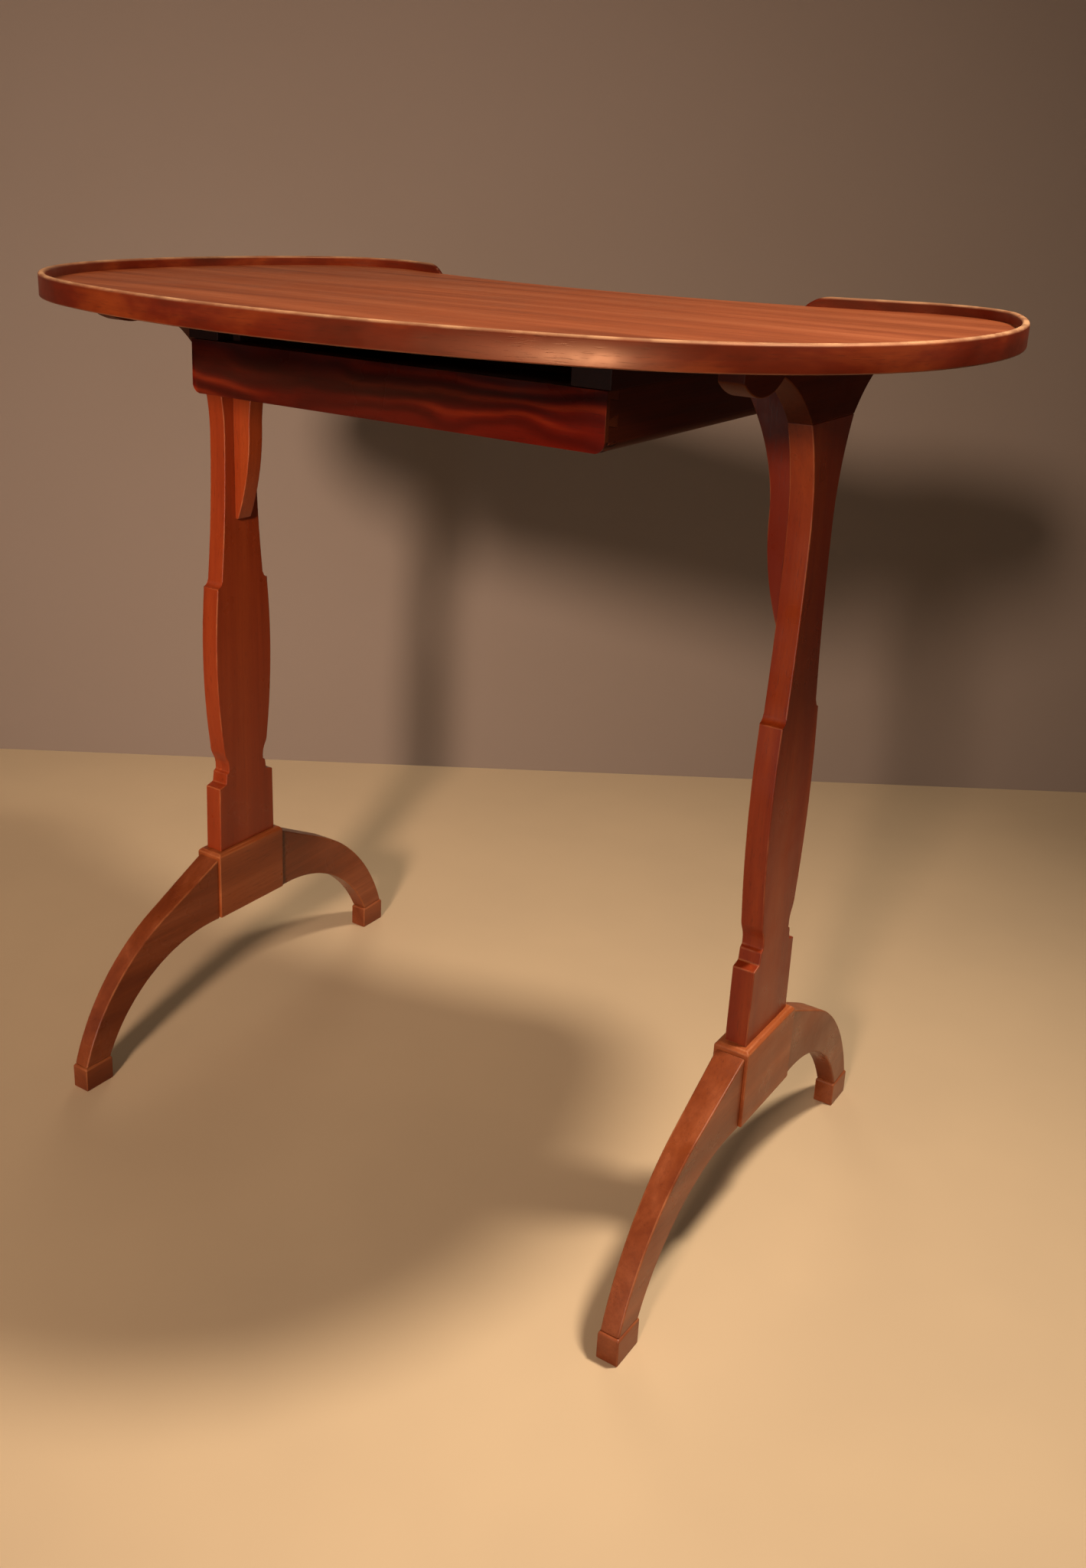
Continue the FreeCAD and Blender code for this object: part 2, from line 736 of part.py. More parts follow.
def end_support(name, side):
    """Column, bearer, corbel, foot block, two arms and two pads of one end."""
    column_foot_low = ("-column_foot_tenon_half", "block_top_level - column_foot_tenon_length")
    column_foot_high = ("column_foot_tenon_half", "block_top_level")
    column_top_low = ("-column_top_tenon_half", "column_top_level")
    column_top_high = ("column_top_tenon_half", "column_top_level + column_top_tenon_length")
    board_start = around(side, "support_thickness / 2")[0]
    column_board = padded(f"column_board_{name}", "YZ_Plane", column_outline(), board_start, "support_thickness")
    column = fuse(f"column_{name}", column_board,
                  tenon(f"column_foot_tenon_{name}", side, column_foot_low, column_foot_high, False),
                  tenon(f"column_top_tenon_{name}", side, column_top_low, column_top_high, False))
    finish(column, f"column_{name}")

    bearer_board = padded(f"bearer_board_{name}", "YZ_Plane", bearer_outline(), board_start, "support_thickness")
    mortise_low = ("-column_top_tenon_half - mortise_clearance", "column_top_level")
    mortise_high = ("column_top_tenon_half + mortise_clearance", column_top_high[1] + " + mortise_end_clearance")
    bearer_mortise = tenon(f"bearer_mortise_{name}", side, mortise_low, mortise_high, True)
    finish(cut(f"bearer_{name}", bearer_board, bearer_mortise, bearer_screw_holes), f"bearer_{name}")

    corbel_body = padded(f"corbel_body_{name}", "XZ_Plane", corbel_outline(side), "-corbel_width / 2", "corbel_width")
    finish(cut(f"corbel_{name}", corbel_body, corbel_screw_holes), f"corbel_{name}")

    left, right = around(side, "block_thickness / 2")
    block_body = under_box(f"block_body_{name}", (left, "-block_half", "block_foot_level"),
                           (right, "block_half", "block_top_level"))
    block_bevelled = eased(f"block_bevelled_{name}", "Chamfer", block_body, top_edge_of_block, "block_bevel")
    mortise_low = ("-column_foot_tenon_half - mortise_clearance", column_foot_low[1] + " - mortise_end_clearance")
    mortise_high = ("column_foot_tenon_half + mortise_clearance", "block_top_level")
    block_mortise = tenon(f"block_mortise_{name}", side, mortise_low, mortise_high, True)
    mortises = [block_mortise]

    for end_name, end in (("front", -1), ("rear", 1)):
        label = f"{name}_{end_name}"
        inner = "block_half - arm_tenon_length"
        tenon_levels = ("block_foot_level + arm_tenon_rise", "block_foot_level + arm_tenon_rise + arm_tenon_height")
        near, far = (inner, "block_half") if end > 0 else ("-block_half", f"-({inner})")
        arm_tenon = tenon(f"arm_tenon_{label}", side, (near, tenon_levels[0]), (far, tenon_levels[1]), False)
        if end > 0:
            near += " - mortise_end_clearance"
        else:
            far += " + mortise_end_clearance"
        mortises.append(tenon(f"arm_mortise_{label}", side, (near, tenon_levels[0] + " - mortise_clearance"),
                              (far, tenon_levels[1] + " + mortise_clearance"), True))
        arm_start = around(side, "arm_root_thickness / 2")[0]
        arm_side = padded(f"arm_side_{label}", "YZ_Plane", arm_outline(end), arm_start, "arm_root_thickness")
        arm_top = padded(f"arm_plan_{label}", "XY_Plane", arm_plan(side, end), "0", "total_height")
        arm_body = fuse(f"arm_body_{label}", common(f"arm_tapered_{label}", arm_side, arm_top), arm_tenon)

        middle = f"{end} * (pad_outer_reach - pad_length / 2)"
        dowel_foot = "pad_height - dowel_bite"
        dowel_place = (f"{side} * trestle_reach", middle, dowel_foot)
        hole_place = (dowel_place[0], middle, dowel_foot + " - dowel_clearance")
        dowel_hole = upright_bar(f"dowel_hole_{label}", "dowel_radius + dowel_clearance", hole_place,
                                 "2 * (dowel_bite + dowel_clearance)")
        dowels.append(upright_bar(f"dowel_{label}", "dowel_radius", dowel_place, "2 * dowel_bite"))
        finish(cut(f"foot_arm_{label}", arm_body, dowel_hole), f"foot_arm_{label}")

        left, right = around(side, "pad_thickness / 2")
        pad_body = under_box(f"pad_body_{label}", (left, f"{middle} - pad_length / 2", "0"),
                             (right, f"{middle} + pad_length / 2", "pad_height"))
        pad_bevelled = eased(f"pad_bevelled_{label}", "Chamfer", pad_body, top_edge_of_pad, "pad_bevel")
        finish(cut(f"foot_pad_{label}", pad_bevelled, dowel_hole), f"foot_pad_{label}")

    finish(cut(f"foot_block_{name}", block_bevelled, *mortises), f"foot_block_{name}")


def top_edge_of_block(edge):
    return edge.BoundBox.ZMin > size("block_top_level") - NEAR


def top_edge_of_pad(edge):
    return edge.BoundBox.ZMin > size("pad_height") - NEAR


dowels = []
end_support("left", -1)
end_support("right", 1)
dowel_group = doc.addObject("Part::Compound", "pad_dowels")
dowel_group.Links = dowels
finish(dowel_group, "pad_dowels")


# Drawer

def side_board_outline():
    """A drawer side with the two dovetails that stand out at each end."""
    foot = size("drawer_foot_level")
    shoulder = size("core_inner")
    tip = shoulder + size("tail_length")
    root = size("tail_root_width") / 2
    wide = root + size("tail_flare")
    points = [(shoulder, foot)]
    for centre in (foot + size("tail_low_centre"), foot + size("tail_high_centre")):
        points += [(shoulder, centre - root), (tip, centre - wide), (tip, centre + wide), (shoulder, centre + root)]
    points.append((shoulder, size("drawer_top_level")))
    return both_halves(polyline(points), foot, size("drawer_top_level"))


def face_outline():
    """The drawer seen from either face: square upper corners and rounded lower ones."""
    foot = size("drawer_foot_level")
    top = size("drawer_top_level")
    reach = size("drawer_half_length")
    radius = size("face_corner_round")
    bulge = radius * (1 - math.sqrt(1 / 2))
    corner = bulged((reach - radius, foot), (reach, foot + radius), -bulge)
    half = [corner, line((reach, foot + radius), (reach, top))]
    return both_halves(half, foot, top)


def strip_outline(side):
    """The hanger strip: a foot on the drawer side, a web past the rail and a lip into its groove."""
    corners = [
        ("side_inner", "strip_foot_level"), ("side_inner", "drawer_top_level"), ("strip_outer", "drawer_top_level"),
        ("strip_outer", "strip_lip_foot"), ("strip_lip_outer", "strip_lip_foot"),
        ("strip_lip_outer", "strip_top_level"), ("strip_inner", "strip_top_level"),
        ("strip_inner", "strip_foot_level"),
    ]
    points = [(side * size(reach), size(level)) for reach, level in corners]
    return polyline(points + [points[0]])


drawer_bottom = under_box("drawer_bottom", ("-side_inner - bottom_groove_depth", "-core_inner - bottom_groove_depth",
                                            "bottom_foot_level"),
                          ("side_inner + bottom_groove_depth", "core_inner + bottom_groove_depth",
                           "bottom_foot_level + drawer_bottom_thickness"))
finish(drawer_bottom, "drawer_bottom")

drawer_envelope = padded("drawer_envelope", "XZ_Plane", face_outline(), "-core_outer", "2 * core_outer")
drawer_sides = []
for name, side, start in (("left", -1, "-drawer_half_length"), ("right", 1, "side_inner")):
    board = padded(f"drawer_side_board_{name}", "YZ_Plane", side_board_outline(), start, "drawer_side_thickness")
    rounded = common(f"drawer_side_rounded_{name}", board, drawer_envelope)
    drawer_sides.append(rounded)
    finish(cut(f"drawer_side_{name}", rounded, drawer_bottom), f"drawer_side_{name}")
    strip = padded(f"hanger_strip_{name}", "XZ_Plane", strip_outline(side), "-core_inner", "2 * core_inner")
    finish(strip, f"hanger_strip_{name}")

    outer, inner = f"{side} * rail_outer", f"{side} * rail_inner"
    mouth, wall = f"{side} * (rail_inner - overrun)", f"{side} * (rail_inner + groove_depth)"
    if side < 0:
        rail_low, rail_high, groove_low, groove_high = outer, inner, wall, mouth
    else:
        rail_low, rail_high, groove_low, groove_high = inner, outer, mouth, wall
    rail_body = under_box(f"rail_body_{name}", (rail_low, "-drawer_half_depth", "rail_foot_level"),
                          (rail_high, "drawer_half_depth", "underside_level"))
    groove = under_box(f"rail_groove_{name}", (groove_low, "-core_inner - stop_clearance", "groove_foot_level"),
                       (groove_high, "drawer_half_depth + overrun", "groove_foot_level + groove_height"))
    finish(cut(f"drawer_rail_{name}", rail_body, groove, rail_screw_holes), f"drawer_rail_{name}")


def knob_outline():
    """Half of a turned knob in its own upright plane: stem, collar, neck and domed head."""
    stem = size("knob_stem_radius")
    inside = size("core_inner")
    face = size("drawer_half_depth")
    collar = size("knob_collar_radius")
    neck_start = face + size("knob_collar_thickness")
    neck_end = face + size("knob_neck_length")
    tip = face + size("knob_reach")
    neck = size("knob_neck_radius")
    head = size("knob_radius")
    flat = size("knob_flat_radius")
    rim = (neck_end + tip) / 2
    return polyline([(0, inside), (stem, inside), (stem, face), (collar, face), (collar, neck_start),
                     (neck, neck_start), (neck, neck_end)]) + [
        bulged((neck, neck_end), (head, rim), -(head - neck) / 5),
        bulged((head, rim), (flat, tip), -(tip - rim) / 3),
        line((flat, tip), (0, tip)),
        line((0, tip), (0, inside))]


knob_holes = []
for name, side in (("left", -1), ("right", 1)):
    knob = doc.addObject("PartDesign::Body", f"drawer_knob_{name}")
    knob_sketch = knob.newObject("Sketcher::SketchObject", f"knob_outline_{name}")
    knob_sketch.AttachmentSupport = [(origin_plane(knob, "XY_Plane"), "")]
    knob_sketch.MapMode = "FlatFace"
    knob_sketch.addGeometry(knob_outline(), False)
    knob_turning = knob.newObject("PartDesign::Revolution", f"knob_turning_{name}")
    knob_turning.Profile = knob_sketch
    knob_turning.ReferenceAxis = (knob_sketch, ["V_Axis"])
    knob_turning.Angle = 360
    bind(knob, {"Placement.Base.x": f"{side} * knob_place", "Placement.Base.y": "support_setback",
                "Placement.Base.z": "knob_level"})
    finish(knob, f"drawer_knob_{name}")

    hole = doc.addObject("Part::Cylinder", f"knob_hole_{name}")
    hole.Placement.Rotation = FreeCAD.Rotation(Vector(0, 0, 1), Vector(0, 1, 0))
    bind(hole, {
        "Radius": "knob_stem_radius + knob_stem_clearance",
        "Height": "drawer_half_depth - core_inner + 2 * overrun",
        "Placement.Base.x": f"{side} * knob_place",
        "Placement.Base.y": "support_setback + core_inner - overrun",
        "Placement.Base.z": "knob_level",
    })
    knob_holes.append(hole)

# The pads below run towards -Y, so a face at the hollow side starts from its outer plane
drawer_faces = (
    ("back", "core_inner", "core_outer", []),
    ("front", "-core_outer", "-drawer_half_depth", knob_holes),
)
for name, core_start, veneer_start, holes in drawer_faces:
    core = padded(f"drawer_{name}_core", "XZ_Plane", face_outline(), core_start, "drawer_face_core")
    finish(cut(f"drawer_{name}", core, *drawer_sides, drawer_bottom, *holes), f"drawer_{name}")
    veneer = padded(f"{name}_veneer_sheet", "XZ_Plane", face_outline(), veneer_start, "veneer_thickness")
    finish(cut(f"drawer_{name}_veneer", veneer, *holes) if holes else veneer, f"drawer_{name}_veneer")

doc.recompute()

# Checks before anything is written

for feature in doc.Objects:
    if "Invalid" in feature.State or "Error" in feature.State:
        raise RuntimeError(f"{feature.Name} failed: {feature.State}")
for node in nodes:
    if node.Shape.isNull() or not node.Shape.isValid():
        raise RuntimeError(f"{node.Label} has no valid shape")
    for solid in node.Shape.Solids:
        if solid.Volume <= 0:
            raise RuntimeError(f"{node.Label} holds an empty solid")

os.makedirs("parts", exist_ok=True)
for node in nodes:
    node.Shape.exportStep(os.path.join("parts", node.Label + ".step"))
    print(f"{node.Label}: {len(node.Shape.Solids)} solid(s), {node.Shape.Volume / 1000:.1f} cm3")
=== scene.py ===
"""Dresses a kidney-shaped mahogany side table: worn arrises, french polish, fixings, stage and camera."""

import json
import math

import bmesh
import bpy
from mathutils import Matrix, Vector


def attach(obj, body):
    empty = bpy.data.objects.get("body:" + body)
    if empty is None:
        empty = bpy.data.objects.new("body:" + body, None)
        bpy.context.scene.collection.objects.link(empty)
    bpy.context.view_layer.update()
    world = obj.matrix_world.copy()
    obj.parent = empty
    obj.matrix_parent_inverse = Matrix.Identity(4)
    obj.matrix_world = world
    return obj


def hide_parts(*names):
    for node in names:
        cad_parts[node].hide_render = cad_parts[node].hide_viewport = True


bl_info = {
    "name": "Kidney Side Table",
    "version": (1, 0, 0),
    "blender": (4, 5, 0),
    "location": "3D View > Sidebar > Side Table",
    "description": "Dresses a kidney-shaped mahogany side table with a hanging drawer",
    "category": "Object",
}

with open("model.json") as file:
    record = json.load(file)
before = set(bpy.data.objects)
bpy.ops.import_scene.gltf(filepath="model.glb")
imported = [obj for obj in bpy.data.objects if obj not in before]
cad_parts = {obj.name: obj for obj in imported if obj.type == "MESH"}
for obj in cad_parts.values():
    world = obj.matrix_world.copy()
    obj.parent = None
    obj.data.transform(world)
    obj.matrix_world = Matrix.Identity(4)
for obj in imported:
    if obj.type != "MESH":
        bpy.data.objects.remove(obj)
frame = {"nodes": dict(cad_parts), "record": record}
NODES = frame["nodes"]
SLOTS = {part["node"]: part["material_slot"] for part in frame["record"]["subparts"]}
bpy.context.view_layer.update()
MM = 0.001

# The frame's meshes repeat their corners and cut flat faces up into triangles
WELD_DISTANCE = 0.002 * MM
FLAT_WITHIN = math.radians(0.2)
# Which edges are arrises to be rounded, and from which angle the shading stays sharp
ARRIS_ANGLE = math.radians(28)
SHORTEST_ARRIS = 1.3 * MM
SHARP_ANGLE = math.radians(50)
SHARP_FIXING_ANGLE = math.radians(40)
# How worn a rounded arris is; the edging is worn along its crest instead, and there its pale colour is also a
# painted highlight
FULL_WEAR = 1.0
SPARED_WEAR = 0.15
EDGING_WEAR_AND_HIGHLIGHT_CREST = 2.0 * MM
# The arms and the edging are handled most, and the veneer is kept crisp
ARM_ROUNDING = 1.4
EDGING_ROUNDING = 1.6
VENEER_ROUNDING = 0.5
KNOB_ROUNDING = 0.15 * MM
# The edging's face is scraped round from this height in metres upwards, with this curve
EDGING_FACE = (0.714, 8.0)

# Polished woods: dark, middle and light growth bands
TOP_TONES = ("#703014", "#944a26", "#ac603a")
EDGING_TONES = ("#430d03", "#651a06", "#8c3a14")
# The left column's tones are lighter as painted light, the right column's darker as painted shade
LEFT_COLUMN_PAINTED_LIGHT_TONES = ("#7a290c", "#903716", "#a4471e")
RIGHT_COLUMN_PAINTED_SHADE_TONES = ("#681b08", "#7a270c", "#8e3812")
ARM_TONES = ("#64290f", "#7e3c1c", "#985230")
BLOCK_TONES = ("#733112", "#914720", "#ae6036")
# The bearers' tones are darkened as painted shade under the top
BEARER_PAINTED_SHADE_TONES = ("#42160a", "#5a220f", "#6c3018")
VENEER_TONES = ("#4a0b04", "#621306", "#8c2c10")
KNOB_TONES = ("#431208", "#61200e", "#7e3418")
# Plain boards: dark and light bands, and end grain
DRAWER_TONES = ("#3a1408", "#501f0d", "#5f2c16")
# The rails' tones, end grain too, are darkened as painted shade under the top
RAIL_PAINTED_SHADE_TONES = ("#2c0f08", "#3e150a", "#30120a")
BEECH_TONES = ("#9a7048", "#b98c5f", "#c9a274")
PORE_TONE = "#2a0d07"
RUBBED_TONE = "#c98350"
# The edging's rubbed colour is pale for wear and as a painted highlight along its crest
RUBBED_EDGING_AND_HIGHLIGHT_TONE = "#deb084"

# Slotted wood screws; the cutter of the slot is longer than the head and half sunk in it
SCREW = {"Head Radius": 3.8 * MM, "Head Height": 2.6 * MM, "Shank Radius": 1.9 * MM, "Length": 28 * MM,
         "Slot Width": 0.9 * MM, "Cutter Length": 20 * MM, "Cutter Height": 1.8 * MM,
         "Thread Pitch": 1.6 * MM, "Thread Radius": 0.45 * MM}
# The thread stands on a core thinner than the shank, and takes up the last part of the length
CORE_SHARE = 0.82
THREAD_SHARE = 0.6
THREAD_START = 0.38
DOWEL = {"Radius": 3.5 * MM, "Flute Depth": 0.35 * MM, "Length": 28 * MM}
# No two screws stop at the same turn of the slot
FIRST_TURN = 0.7
TURN_BETWEEN = 1.9

# The camera that took the photograph, in metres and degrees
CAMERA_PLACE = Vector((0.67757, -0.97818, 0.81731))
CAMERA_HEADING, CAMERA_PITCH, CAMERA_ROLL = (math.radians(angle) for angle in (33.43, 19.18, 2.32))
CAMERA_SHIFT = (0.0273, -0.0602)
SENSOR_WIDTH = 36
CLIP_START = 0.05

# Each lamp: name, the setting of its power, place, aim, width, spread in degrees, colour, whether it
# lights the surfaces, and whether it shows in the polish. The key and the rear fill would draw a white
# glare on the top. The low lamp draws only the gloss on the front edge, from below the top's face.
LAMPS = (
    ("front key", "key_power", (0.85, -3.1, 1.86), (-0.5, 0, 0.40), 0.45, 48, "#ffe2cb", True, False),
    ("overhead", "fill_power", (0.96, 0.41, 2.5), (0.5, -0.15, 0.6), 0.3, 60, "#ffeed8", True, True),
    ("rear fill", "rear_power", (-1.5, 1.9, 1.5), (0, 0, 0.3), 1.2, 150, "#ffeeda", True, False),
    ("edge glint", "glint_power", (0.85, -3.1, 0.62), (0, -0.26, 0.70), 0.45, 48, "#fff2e6", False, True),
)
SKY_LIGHT = "#fff2e4"
SKY_SHOWN = "#94887b"
# The floor and the wall throw back less light than they show
FLOOR_BOUNCE = "#a08a6c"
WALL_BOUNCE = "#5e544c"
PAINT_CLOUDS = "#8a7a6a"
FLOOR_REACH = 15
WALL_DISTANCE = 2.0
WALL_REACH = 6
WALL_HEIGHT = 5


# Colours and nodes

def linear(code):
    """A linear colour from its sRGB hex code."""
    channels = [int(code[i:i + 2], 16) / 255 for i in (1, 3, 5)]
    return [c / 12.92 if c <= 0.04045 else ((c + 0.055) / 1.055) ** 2.4 for c in channels] + [1.0]


def named(sockets, key):
    """A socket by its place, its identifier or its name."""
    if isinstance(key, int):
        return sockets[key]
    return next(socket for socket in sockets if key in (socket.identifier, socket.name))


def add(tree, kind, sockets=None, out=None, stops=(), **settings):
    """Add one node with its settings and colour stops, and fill its inputs with values or links.

    The result is the node, or the one of its outputs that is asked for.
    """
    node = tree.nodes.new(kind)
    for name, value in settings.items():
        setattr(node, name, value)
    for key, value in (sockets or {}).items():
        socket = named(node.inputs, key)
        sources = value if isinstance(value, (list, tuple)) else [value]
        links = [source for source in sources if isinstance(source, bpy.types.NodeSocket)]
        for source in links:
            tree.links.new(source, socket)
        if not links:
            socket.default_value = value
    if stops:
        points = node.color_ramp.elements
        while len(points) < len(stops):
            points.new(0.5)
        for point, (place, colour) in zip(points, stops):
            point.position = place
            point.color = colour
    return node if out is None else named(node.outputs, out)


def stretched_noise(tree, coords, grain, width, length, detail, distortion=0.0, fade=None):
    """Noise in cells of a real width across the grain and length along it, in millimetres.

    The fade gives a low and a high level of the noise, and the values that they become.
    """
    scale = [1 / (length * MM) if axis in grain else 1 / (width * MM) for axis in "XYZ"]
    laid = add(tree, "ShaderNodeMapping", {"Vector": coords, "Scale": scale}, "Vector")
    noise = add(tree, "ShaderNodeTexNoise", {"Vector": laid, "Scale": 1.0, "Detail": detail,
                                             "Roughness": 0.6, "Distortion": distortion}, "Fac")
    if fade is None:
        return noise
    low, high, start, end = fade
    return add(tree, "ShaderNodeMapRange", {"Value": noise, "From Min": low, "From Max": high,
                                            "To Min": start, "To Max": end}, "Result")


def layered(tree, body, *layers):
    """A colour with other colours laid over it in turn, each by its own amount."""
    for amount, colour in layers:
        body = add(tree, "ShaderNodeMix", {"Factor": amount, "A_Color": body, "B_Color": colour},
                   "Result_Color", data_type="RGBA")
    return body


def new_material(name):
    """A material with an empty node tree."""
    material = bpy.data.materials.new(name)
    material.use_nodes = True
    material.node_tree.nodes.clear()
    return material, material.node_tree


def close_material(tree, sockets):
    """End a material in one Principled shader."""
    surface = add(tree, "ShaderNodeBsdfPrincipled", sockets, "BSDF")
    add(tree, "ShaderNodeOutputMaterial", {"Surface": surface})


def polished_mahogany(finish, name, grain, tones, dull=0.0, reach=520, rub=0.28, bare=RUBBED_TONE,
                      shine=0.40, tint="#ffffff", evenness=0.10, face=None, figure=None):
    """French-polished mahogany: a soft ribbon along the grain, short open pores, and pale worn arrises.

    The grain's axes, the length of its ribbons in millimetres, how dull the polish is, how far and how
    evenly it is rubbed off, and how strongly and in what colour it shines are set for each piece.
    """
    material, tree = new_material(name)
    coords = add(tree, "ShaderNodeTexCoord", out="Object")
    stain = (*finish.stain, 1.0)
    dark, middle, light = ([c * s for c, s in zip(linear(tone), stain)] for tone in tones)
    # Growth bands in mahogany are 20 to 60 mm wide and run most of a board's length
    ribbon = figure(tree, coords) if figure else stretched_noise(tree, coords, grain, 34, reach, 4, 0.4)
    body = add(tree, "ShaderNodeValToRGB", {"Fac": ribbon}, "Color",
               stops=((0.28, dark), (0.50, middle), (0.72, light)))
    # Fine streaks between the bands are 2 to 4 mm wide
    streaks = stretched_noise(tree, coords, grain, 3.2, 240, 3, fade=(0.35, 0.68, 0.0, 0.30))
    # Real pores are 0.2 mm wide; they are drawn 0.9 mm wide and 14 mm long so that they show
    pore = stretched_noise(tree, coords, grain, 0.9, 14, 2, fade=(0.60, 0.70, 0.0, 1.0))
    pore_depth = add(tree, "ShaderNodeMath", {0: pore, 1: 0.34}, 0, operation="MULTIPLY")
    # Handling rubs the polish off the arrises in patches 20 to 40 mm long
    patches = stretched_noise(tree, coords, "", 28, 28, 3, fade=(0.42, 0.62, evenness, 1.0))
    marked = add(tree, "ShaderNodeAttribute", out="Fac", attribute_name="wear")
    worn = add(tree, "ShaderNodeMath", {0: marked, 1: patches}, 0, operation="MULTIPLY")
    rubbed = add(tree, "ShaderNodeMath", {0: worn, 1: rub}, 0, operation="MULTIPLY")
    # The rubbed colour is wear; on the edging's crest it is also a painted highlight
    body = layered(tree, body, (streaks, dark), (pore_depth, linear(PORE_TONE)), (rubbed, linear(bare)))
    # Polish pulls back over the years, so gloss varies in clouds about 50 mm across
    gloss = finish.polish + dull
    rough = stretched_noise(tree, coords, "", 50, 50, 3, fade=(0.3, 0.7, gloss - 0.06, gloss + 0.10))
    rough = add(tree, "ShaderNodeMath", {0: rough, 1: worn, 2: rough}, 0, operation="MULTIPLY_ADD")
    # Hand-planed boards ripple slightly, and the pores are open
    ripple = stretched_noise(tree, coords, grain, 26, 90, 2)
    relief = add(tree, "ShaderNodeBump", {"Strength": 0.25, "Distance": 0.6 * MM, "Height": ripple}, "Normal")
    relief = add(tree, "ShaderNodeBump", {"Strength": 0.2, "Distance": 0.12 * MM, "Height": pore,
                                          "Normal": relief}, "Normal", invert=True)
    if face:
        relief = rolled_face(tree, coords, relief, *face)
    close_material(tree, {"Base Color": body, "Roughness": rough, "Normal": relief, "IOR": 1.46,
                          "Specular IOR Level": shine, "Specular Tint": linear(tint)})
    return material


def rolled_face(tree, coords, normal, level, curve):
    """A face scraped slightly round from a level upwards, so that its upper part catches the light."""
    height = add(tree, "ShaderNodeSeparateXYZ", {"Vector": coords}, "Z")
    rise = add(tree, "ShaderNodeMath", {0: height, 1: level}, 0, operation="SUBTRACT")
    squared = add(tree, "ShaderNodeMath", {0: rise, 1: rise}, 0, operation="MULTIPLY")
    return add(tree, "ShaderNodeBump", {"Strength": 1.0, "Distance": curve, "Height": squared,
                                        "Normal": normal}, "Normal", invert=True)


def flame_figure(tree, coords):
    """The swirl of a crotch veneer: bands along the drawer, thrown into waves by slow noise."""
    slow = add(tree, "ShaderNodeMapping", {"Vector": coords, "Scale": (7, 0, 12)}, "Vector")
    drift = add(tree, "ShaderNodeTexNoise", {"Vector": slow, "Scale": 1.0, "Detail": 2.0}, "Color")
    # The waves are pushed up to 35 mm either way
    push = add(tree, "ShaderNodeVectorMath", {0: drift, 1: (0.5, 0.5, 0.5)}, 0, operation="SUBTRACT")
    pushed = add(tree, "ShaderNodeVectorMath", {0: push, 1: (0.07, 0, 0.075), 2: coords}, 0,
                 operation="MULTIPLY_ADD")
    bands = add(tree, "ShaderNodeTexWave", {"Vector": pushed, "Scale": 20.0, "Distortion": 3.2,
                                            "Detail": 4.0, "Detail Scale": 0.5}, "Fac",
                bands_direction="Z")
    # The figure fades out where the crotch gives way to plain stem
    depth = stretched_noise(tree, coords, "X", 60, 130, 1, fade=(0.35, 0.65, 0.10, 0.44))
    return add(tree, "ShaderNodeMath", {0: bands, 1: depth, 2: 0.28}, 0, operation="MULTIPLY_ADD")


def waxed_board(name, grain, tones, gloss=0.55):
    """Plain unpolished wood: fine streaks, and dry end grain."""
    material, tree = new_material(name)
    texture = add(tree, "ShaderNodeTexCoord")
    coords = texture.outputs["Object"]
    dark, light, end_tone = (linear(tone) for tone in tones)
    bands = stretched_noise(tree, coords, grain, 18, 420, 4, 0.3)
    body = add(tree, "ShaderNodeValToRGB", {"Fac": bands}, "Color", stops=((0.3, dark), (0.7, light)))
    fine = stretched_noise(tree, coords, grain, 1.6, 80, 3)
    streaks = add(tree, "ShaderNodeMapRange", {"Value": fine, "From Min": 0.4, "From Max": 0.7,
                                               "To Min": 0.0, "To Max": 0.45}, "Result")
    # End grain is open and dry, and shows as fine dots
    facing = add(tree, "ShaderNodeSeparateXYZ", {"Vector": texture.outputs["Normal"]}, grain)
    across = add(tree, "ShaderNodeMath", {0: facing}, 0, operation="ABSOLUTE")
    end = add(tree, "ShaderNodeMapRange", {"Value": across, "From Min": 0.75, "From Max": 0.95}, "Result")
    dots = stretched_noise(tree, coords, "", 0.9, 0.9, 2, fade=(0.45, 0.62, 0.0, 0.6))
    body = layered(tree, body, (streaks, dark), (end, layered(tree, end_tone, (dots, dark))))
    relief = add(tree, "ShaderNodeBump", {"Strength": 0.3, "Distance": 0.15 * MM, "Height": fine}, "Normal")
    rough = add(tree, "ShaderNodeMapRange", {"Value": bands, "From Min": 0.3, "From Max": 0.7,
                                             "To Min": gloss - 0.06, "To Max": gloss + 0.10}, "Result")
    close_material(tree, {"Base Color": body, "Roughness": rough, "Normal": relief, "IOR": 1.5,
                          "Specular IOR Level": 0.1})
    return material


def dulled_steel(name):
    """Old iron screws: dark grey with brown rust in blotches 2 mm across."""
    material, tree = new_material(name)
    coords = add(tree, "ShaderNodeTexCoord", out="Object")
    blotches = stretched_noise(tree, coords, "", 2, 2, 4)
    body = add(tree, "ShaderNodeValToRGB", {"Fac": blotches}, "Color",
               stops=((0.42, linear("#5b5854")), (0.62, linear("#4a3a2e"))))
    rough = add(tree, "ShaderNodeMapRange", {"Value": blotches, "From Min": 0.4, "From Max": 0.65,
                                             "To Min": 0.35, "To Max": 0.65}, "Result")
    close_material(tree, {"Base Color": body, "Roughness": rough, "Metallic": 0.85})
    return material


def seen_rays(tree):
    """1 for the rays that show the backdrop: the camera's, and those in polish and metal."""
    rays = add(tree, "ShaderNodeLightPath").outputs
    seen = rays["Is Camera Ray"]
    for kind in ("Is Glossy Ray", "Is Transmission Ray"):
        seen = add(tree, "ShaderNodeMath", {0: seen, 1: rays[kind]}, 0, operation="MAXIMUM")
    return seen


